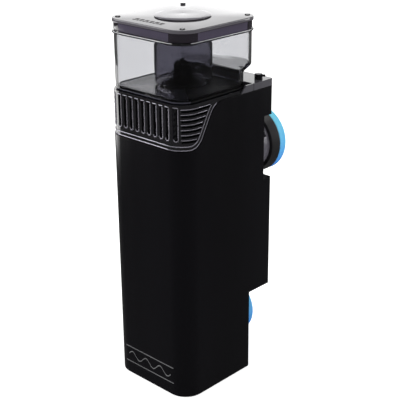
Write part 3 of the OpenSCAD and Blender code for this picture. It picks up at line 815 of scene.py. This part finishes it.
def make_foam():
    """Filter foam: a block of points on its faces, with soft edges and a slightly lumpy skin."""
    lo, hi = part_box("sponge_block")
    lo, hi = lo / MM, hi / MM
    mid, half = (lo + hi) / 2, (hi - lo) / 2
    nx, ny, nz, soft = 40, 16, 54, 2.5  # steps along each side, and the edges' radius
    verts, faces, index = [], [], {}

    def point(i, j, k):
        key = (i, j, k)
        if key in index:
            return index[key]
        p = Vector((2 * i / nx - 1, 2 * j / ny - 1, 2 * k / nz - 1))
        q = Vector((p.x * half.x, p.y * half.y, p.z * half.z))
        inner = Vector([max(-h + soft, min(h - soft, c)) for c, h in zip(q, half)])
        d = q - inner
        if d.length > 1e-6:
            q = inner + d.normalized() * min(soft, max(abs(c) for c in d))
        n = noise.noise(q * 0.55) * 0.5 + noise.noise(q * 1.7) * 0.35
        q *= 1 - (0.006 + 0.006 * abs(n))
        q += (q - inner).normalized() * (-0.25 - 0.35 * max(0, n))
        index[key] = len(verts)
        verts.append(tuple(mid + q))
        return index[key]

    def sheet(a, b, make):
        for i in range(a):
            for j in range(b):
                faces.append((make(i, j), make(i + 1, j), make(i + 1, j + 1), make(i, j + 1)))

    for s in (0, 1):
        sheet(nx, ny, lambda i, j, s=s: point(i, j, nz * s))
        sheet(nx, nz, lambda i, j, s=s: point(i, ny * s, j))
        sheet(ny, nz, lambda i, j, s=s: point(nx * s, i, j))
    ob = new_piece("filter_foam_block", verts, faces, M["foam"], "body", ["sponge_block"], 80)


# ---------------------------------------------------------------- stage, light, camera
def make_stage():
    """A pale floor that looks white to the camera and dim in glossy reflections."""
    half, n, z = 6.0, 24, -0.0005  # metres, and squares along a side
    glow, glow_reflected = 0.7, 0.11
    at = [-half + 2 * half * i / n for i in range(n + 1)]
    verts = [(x, y, z) for x in at for y in at]
    faces = []
    for i in range(n):
        for j in range(n):
            a = i * (n + 1) + j
            faces.append((a, a + n + 1, a + n + 2, a + 1))
    me = bpy.data.meshes.new("floor")
    me.from_pydata(verts, [], faces)
    floor = bpy.data.objects.new("floor", me)
    bpy.context.scene.collection.objects.link(floor)
    g = Graph("floor_pale")
    col = g.ramp(g.noise(3, 2), "Fac", 0.3, 0.7, (0.90, 0.90, 0.90), (0.93, 0.93, 0.93))
    g.join(col, "Color", g.bsdf, "Base Color")
    g.set(Roughness=0.9, Specular_IOR_Level=0.05, Emission_Color=(1, 1, 1, 1), Emission_Strength=glow)
    dim = g.add("ShaderNodeEmission")
    dim.inputs["Strength"].default_value = glow_reflected
    path = g.add("ShaderNodeLightPath")
    mix = g.add("ShaderNodeMixShader")
    g.join(path, "Glossy Depth", mix, "Fac")
    g.join(g.bsdf, "BSDF", mix, 1)
    g.join(dim, "Emission", mix, 2)
    g.join(mix, "Shader", g.out, "Surface")
    me.materials.append(g.mat)


def area(name, loc, target, size, power, size_y=None):
    """A soft box at loc that faces target and that the camera can't see. Metres and watts."""
    data = bpy.data.lights.new(name, "AREA")
    data.energy = power
    data.size = size
    if size_y:
        data.shape = "RECTANGLE"
        data.size_y = size_y
    ob = bpy.data.objects.new(name, data)
    bpy.context.scene.collection.objects.link(ob)
    ob.location = loc
    ob.rotation_mode = "QUATERNION"
    ob.rotation_quaternion = (Vector(target) - Vector(loc)).to_track_quat("-Z", "Y")
    ob.visible_camera = False
    return ob


def make_light():
    """A white world that bounced rays see dimmer, and five soft boxes."""
    seen, bounced_level = 1.0, 0.4
    world = bpy.data.worlds.new("studio")
    bpy.context.scene.world = world
    world.use_nodes = True
    tree = world.node_tree
    back = tree.nodes["Background"]
    back.inputs["Color"].default_value = (1, 1, 1, 1)
    path = tree.nodes.new("ShaderNodeLightPath")
    bounced = tree.nodes.new("ShaderNodeMath")
    bounced.operation = "ADD"
    tree.links.new(path.outputs["Glossy Depth"], bounced.inputs[0])
    tree.links.new(path.outputs["Diffuse Depth"], bounced.inputs[1])
    level = tree.nodes.new("ShaderNodeMapRange")
    level.inputs["To Min"].default_value = seen
    level.inputs["To Max"].default_value = bounced_level
    tree.links.new(bounced.outputs[0], level.inputs["Value"])
    tree.links.new(level.outputs["Result"], back.inputs["Strength"])
    area("overhead", (0.0, 0.1, 1.7), (0, 0, 0.15), 1.4, 8)
    area("left_soft", (-1.5, -0.9, 0.9), (0, 0, 0.2), 1.0, 16)
    low = area("left_low", (-0.62, -0.15, 0.07), (0, 0, 0.2), 0.5, 0.6, 0.12)
    low.visible_transmission = False  # or it shows as a white patch through the cup
    area("right_strip", (0.95, 1.35, 0.6), (0, 0, 0.2), 0.35, 7, 1.2)
    area("back_panel", (-1.35, 1.45, 0.75), (0, 0, 0.32), 2.6, 11, 0.9)


def make_camera():
    """The photograph's camera, as fitted to the object's edges in it. Metres."""
    eye = Vector((0.55147673, -0.54560480, 0.47546843))
    right = Vector((0.72135637, 0.69251739, -0.00804034))
    up = Vector((-0.25335968, 0.27467971, 0.92755589))
    back = right.cross(up)
    data = bpy.data.cameras.new("view")
    data.sensor_width = 36
    data.lens = 87.78
    data.clip_start, data.clip_end = 0.01, 50
    cam = bpy.data.objects.new("view", data)
    bpy.context.scene.collection.objects.link(cam)
    cam.matrix_world = Matrix((
        (right.x, up.x, back.x, eye.x),
        (right.y, up.y, back.y, eye.y),
        (right.z, up.z, back.z, eye.z),
        (0, 0, 0, 1)))
    bpy.context.scene.camera = cam


bpy.context.scene.view_settings.view_transform = "Standard"
finish_cad()
make_cup()
make_lid()
make_lid_marks()
make_comb_beads()
make_tube()
make_riser()
make_magnet()
make_foam()
make_stage()
make_light()
make_camera()

bpy.context.view_layer.update()
